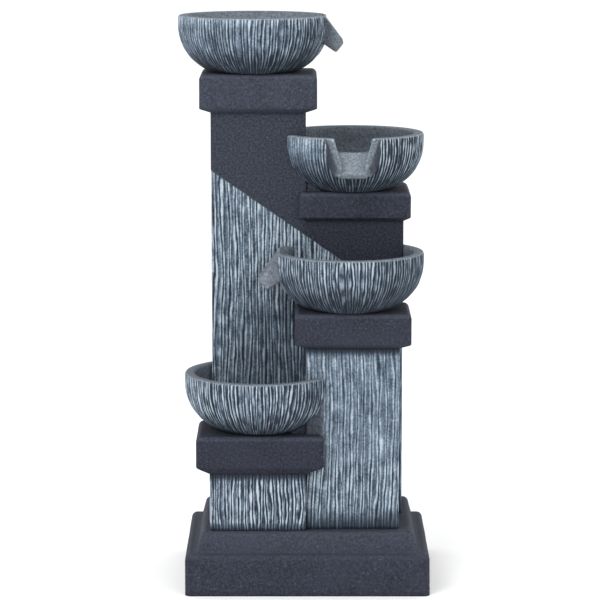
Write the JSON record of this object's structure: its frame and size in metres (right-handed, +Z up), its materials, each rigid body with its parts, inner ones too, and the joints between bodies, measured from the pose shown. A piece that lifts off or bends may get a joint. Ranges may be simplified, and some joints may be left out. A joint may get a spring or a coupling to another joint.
{
  "type": "cascading bowl fountain",
  "caption": "Free-standing garden fountain: hollow stepped columns on a plinth, each with a cap and a round fluted bowl, whose spouts pour from bowl to bowl in a falling spiral.",
  "frame": {"origin": "middle of the plinth's underside, on the ground", "axes": "+Z up, +X to the right seen from the front, +Y to the back"},
  "size_m": [0.375, 0.328, 0.843],
  "materials": {
    "charcoal_resin": "cast resin painted matt charcoal with a fine sandy grain",
    "drybrushed_resin": "carved cast resin, charcoal with pale blue-grey paint dry-brushed on its ridges",
    "black_rubber": "moulded matt",
    "black_abs": "moulded satin",
    "grey_abs": "moulded satin",
    "white_ceramic": "ground alumina ceramic",
    "clear_vinyl": "clear extruded vinyl",
    "stainless_steel": "rolled band"
  },
  "bodies": {
    "fountain": {"plinth": "charcoal_resin", "base_plate": "charcoal_resin", "top_cap": "charcoal_resin", "second_cap": "charcoal_resin", "third_cap": "charcoal_resin", "lowest_cap": "charcoal_resin", "rear_left_column": "drybrushed_resin", "rear_right_column": "drybrushed_resin", "front_right_column": "drybrushed_resin", "front_left_column": "drybrushed_resin", "top_bowl": "drybrushed_resin", "second_bowl": "drybrushed_resin", "third_bowl": "drybrushed_resin", "lowest_bowl": "drybrushed_resin", "cord_grommet": "black_rubber", "shaft_bushes": "black_rubber", "suction_feet": "black_rubber", "riser_washer": "black_rubber", "drain_washer": "black_rubber", "pump_body": "black_abs", "pump_volute": "black_abs", "riser_fitting": "grey_abs", "riser_nut": "grey_abs", "drain_fitting": "grey_abs", "drain_nut": "grey_abs", "impeller_shaft": "white_ceramic", "riser_tube": "clear_vinyl", "drain_tube": "clear_vinyl", "lower_hose_clamp": "stainless_steel", "upper_hose_clamp": "stainless_steel", "drain_hose_clamp": "stainless_steel"},
    "door": {"access_door": "drybrushed_resin"},
    "pump_cover": {"pump_strainer": "black_abs"},
    "dial": {"flow_dial": "grey_abs"},
    "rotor": {"impeller": "grey_abs"},
    "bung": {"drain_plug": "black_rubber"},
    "leaf_guard": {"leaf_strainer": "grey_abs"}
  },
  "joints": [
    {"name": "door_pull", "type": "slide", "parent": "fountain", "child": "door", "axis": [0, 1, 0], "range_m": [0, 0.12]},
    {"name": "pump_cover_pull", "type": "slide", "parent": "fountain", "child": "pump_cover", "axis": [0, 1, 0], "range_m": [0, 0.019]},
    {"name": "dial_turn", "type": "hinge", "parent": "pump_cover", "child": "dial", "pos_m": [-0.081, 0.081, 0.037], "axis": [0, 1, 0], "range_deg": [0, 45]},
    {"name": "rotor_spin", "type": "hinge", "parent": "fountain", "child": "rotor", "pos_m": [-0.081, 0.051, 0.037], "axis": [0, 1, 0], "continuous": true},
    {"name": "bung_pull", "type": "slide", "parent": "fountain", "child": "bung", "axis": [0, 1, 0], "range_m": [0, 0.03]},
    {"name": "leaf_guard_lift", "type": "slide", "parent": "fountain", "child": "leaf_guard", "axis": [0, 0, 1], "range_m": [0, 0.06]}
  ]
}
